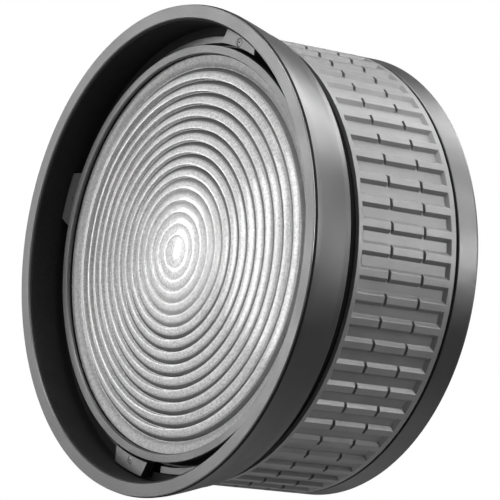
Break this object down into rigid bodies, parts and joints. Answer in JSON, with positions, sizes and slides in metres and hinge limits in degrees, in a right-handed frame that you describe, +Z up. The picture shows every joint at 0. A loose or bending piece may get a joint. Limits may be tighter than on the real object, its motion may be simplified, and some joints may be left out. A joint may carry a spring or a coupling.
{
  "type": "fresnel lens head",
  "caption": "Round zooming Fresnel lens head for a studio light, with a deep front rim, a ribbed focus ring that moves the lens, and a bayonet ring at the rear.",
  "frame": {"origin": "centre of the rear flange's seating face, on the lens axis", "axes": "+Y runs along the lens axis from the front of the lens towards the light; -Y is the way the beam leaves; +Z is up"},
  "size_m": [0.2438, 0.138, 0.2438],
  "materials": {
    "black_anodised": "satin black, fine-grained",
    "grey_anodised": "satin dark grey, fine-grained",
    "matte_black": "matte black",
    "bare_steel": "plated, lightly brushed",
    "black_steel": "black oxide",
    "grip_rubber": "matte moulded rubber",
    "black_rubber": "matte",
    "black_polymer": "low-friction, matte",
    "lens_glass": "moulded stepped front, pebbled back"
  },
  "bodies": {
    "housing": {"front_rim": "grey_anodised", "front_barrel": "black_anodised", "guide_tube": "grey_anodised", "clamp_plate_1": "grey_anodised", "clamp_plate_2": "grey_anodised", "clamp_plate_3": "grey_anodised", "clamp_plate_4": "grey_anodised", "clamp_screw_1": "black_steel", "clamp_screw_2": "black_steel", "clamp_screw_3": "black_steel", "clamp_screw_4": "black_steel", "front_dust_seal": "black_rubber", "rear_thrust_washer": "black_polymer", "rear_housing": "black_anodised", "light_baffle": "matte_black", "mount_ring": "bare_steel", "housing_screw_1": "black_steel", "housing_screw_2": "black_steel", "housing_screw_3": "black_steel", "housing_screw_4": "black_steel", "housing_screw_5": "black_steel", "housing_screw_6": "black_steel", "mount_screw_1": "black_steel", "mount_screw_2": "black_steel", "mount_screw_3": "black_steel", "mount_screw_4": "black_steel", "mount_screw_5": "black_steel", "mount_screw_6": "black_steel"},
    "focus_ring": {"focus_collar": "grey_anodised", "grip_sleeve": "grip_rubber"},
    "lens_carriage": {"lens_cell": "matte_black", "fresnel_lens": "lens_glass", "retaining_ring": "grey_anodised", "front_lens_gasket": "black_rubber", "rear_lens_gasket": "black_rubber", "glide_band_1": "black_polymer", "glide_band_2": "black_polymer", "follower_pin_1": "bare_steel", "follower_pin_2": "bare_steel", "follower_pin_3": "bare_steel", "follower_bush_1": "black_polymer", "follower_bush_2": "black_polymer", "follower_bush_3": "black_polymer"}
  },
  "joints": [
    {"name": "focus_turn", "type": "hinge", "parent": "housing", "child": "focus_ring", "pos_m": [0, -0.062, 0], "axis": [0, 1, 0], "range_deg": [0, 100]},
    {"name": "lens_slide", "type": "slide", "parent": "housing", "child": "lens_carriage", "axis": [0, 1, 0], "range_m": [0, 0.045]}
  ],
  "couplings": [
    {"joint": "lens_slide", "follows": "focus_turn", "m_per_rad": 0.025783}
  ]
}
